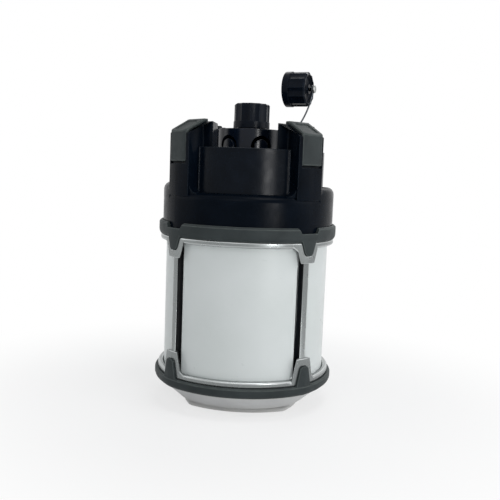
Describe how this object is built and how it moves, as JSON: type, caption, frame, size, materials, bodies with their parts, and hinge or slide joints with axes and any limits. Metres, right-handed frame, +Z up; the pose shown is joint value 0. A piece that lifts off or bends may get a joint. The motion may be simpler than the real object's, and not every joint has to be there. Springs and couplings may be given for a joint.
{
  "type": "camping lantern",
  "caption": "Squarish round camping lantern with white light panels in a silver cage between rubber bumpers, and a black towered crown with screw-capped charging ports and a tethered spare cap.",
  "frame": {"origin": "on the ground under the body's axis, at the middle of the four feet", "axes": "+Z up along the body's axis, -Y out of the front light panel, +X to the right of someone facing the front"},
  "size_m": [0.1266, 0.1266, 0.2364],
  "materials": {
    "base_grey": "light grey moulded plastic",
    "rubber_grey": "dark warm grey rubber, fine matt grain",
    "rubber_black": "black seal rubber",
    "cage_silver": "silver paint on plastic",
    "diffuser_white": "opal white, semi-gloss",
    "chassis_black": "black",
    "core_aluminium": "extruded, bare",
    "lamp_board_white": "white solder mask with yellow lamp chips",
    "cell_sleeve": "blue shrink sleeve",
    "holder_black": "black",
    "board_green": "green circuit board",
    "screw_steel": "zinc plated",
    "crown_black": "blue-black, fine spark-eroded grain",
    "panel_black": "blue-black, satin",
    "cap_black": "blue-black, satin",
    "socket_brass": "turned",
    "wire_steel": "drawn spring steel",
    "rivet_steel": "bright",
    "switch_grey": "grey",
    "button_grey": "dark grey rubber"
  },
  "bodies": {
    "lantern": {"base_cover": "base_grey", "foot_pads": "rubber_grey", "base_screws": "screw_steel", "lower_bumper": "rubber_grey", "cage": "cage_silver", "diffuser_front": "diffuser_white", "diffuser_right": "diffuser_white", "diffuser_rear": "diffuser_white", "diffuser_left": "diffuser_white", "chassis": "chassis_black", "light_core": "core_aluminium", "lamp_board_front": "lamp_board_white", "lamp_board_right": "lamp_board_white", "lamp_board_rear": "lamp_board_white", "lamp_board_left": "lamp_board_white", "battery_cells": "cell_sleeve", "cell_holder_lower": "holder_black", "cell_holder_upper": "holder_black", "crown_floor": "chassis_black", "driver_board": "board_green", "crown_screws": "screw_steel", "upper_bumper": "rubber_grey", "crown_housing": "crown_black", "panel_front": "panel_black", "panel_right": "panel_black", "panel_rear": "panel_black", "panel_left": "panel_black", "pad_front_right": "rubber_grey", "pad_rear_right": "rubber_grey", "pad_rear_left": "rubber_grey", "pad_front_left": "rubber_grey", "turret": "crown_black", "turret_screws": "screw_steel", "port_socket": "socket_brass", "side_neck": "crown_black", "side_socket": "socket_brass", "tether_screw": "screw_steel", "power_switch": "switch_grey"},
    "cap_carrier": {"cap_seal": "rubber_black"},
    "screw_cap": {"port_cap": "cap_black"},
    "tether": {"tether_wire": "wire_steel"},
    "spare_cap": {"loose_cap": "cap_black", "loose_seal": "rubber_black", "loose_rivet": "rivet_steel"},
    "button": {"power_button": "button_grey"}
  },
  "joints": [
    {"name": "cap_lift", "type": "slide", "parent": "lantern", "child": "cap_carrier", "axis": [0, 0, 1], "range_m": [0, 0.006]},
    {"name": "cap_turn", "type": "hinge", "parent": "cap_carrier", "child": "screw_cap", "pos_m": [0, 0, 0.2], "axis": [0, 0, 1], "range_deg": [0, 720]},
    {"name": "tether_swing", "type": "hinge", "parent": "lantern", "child": "tether", "pos_m": [0.0252, 0.0201, 0.1878], "axis": [0, 1, 0], "range_deg": [-12, 35]},
    {"name": "spare_cap_swivel", "type": "hinge", "parent": "tether", "child": "spare_cap", "pos_m": [0.04163, 0.0201, 0.22368], "axis": [0.9511, -0.309, 0], "continuous": true},
    {"name": "power_press", "type": "slide", "parent": "lantern", "child": "button", "axis": [0, -1, 0], "range_m": [0, 0.0012], "stiffness_N_per_m": 800, "springref_m": -0.001}
  ],
  "couplings": [
    {"joint": "cap_turn", "follows": "cap_lift", "rad_per_m": 2094.4}
  ]
}
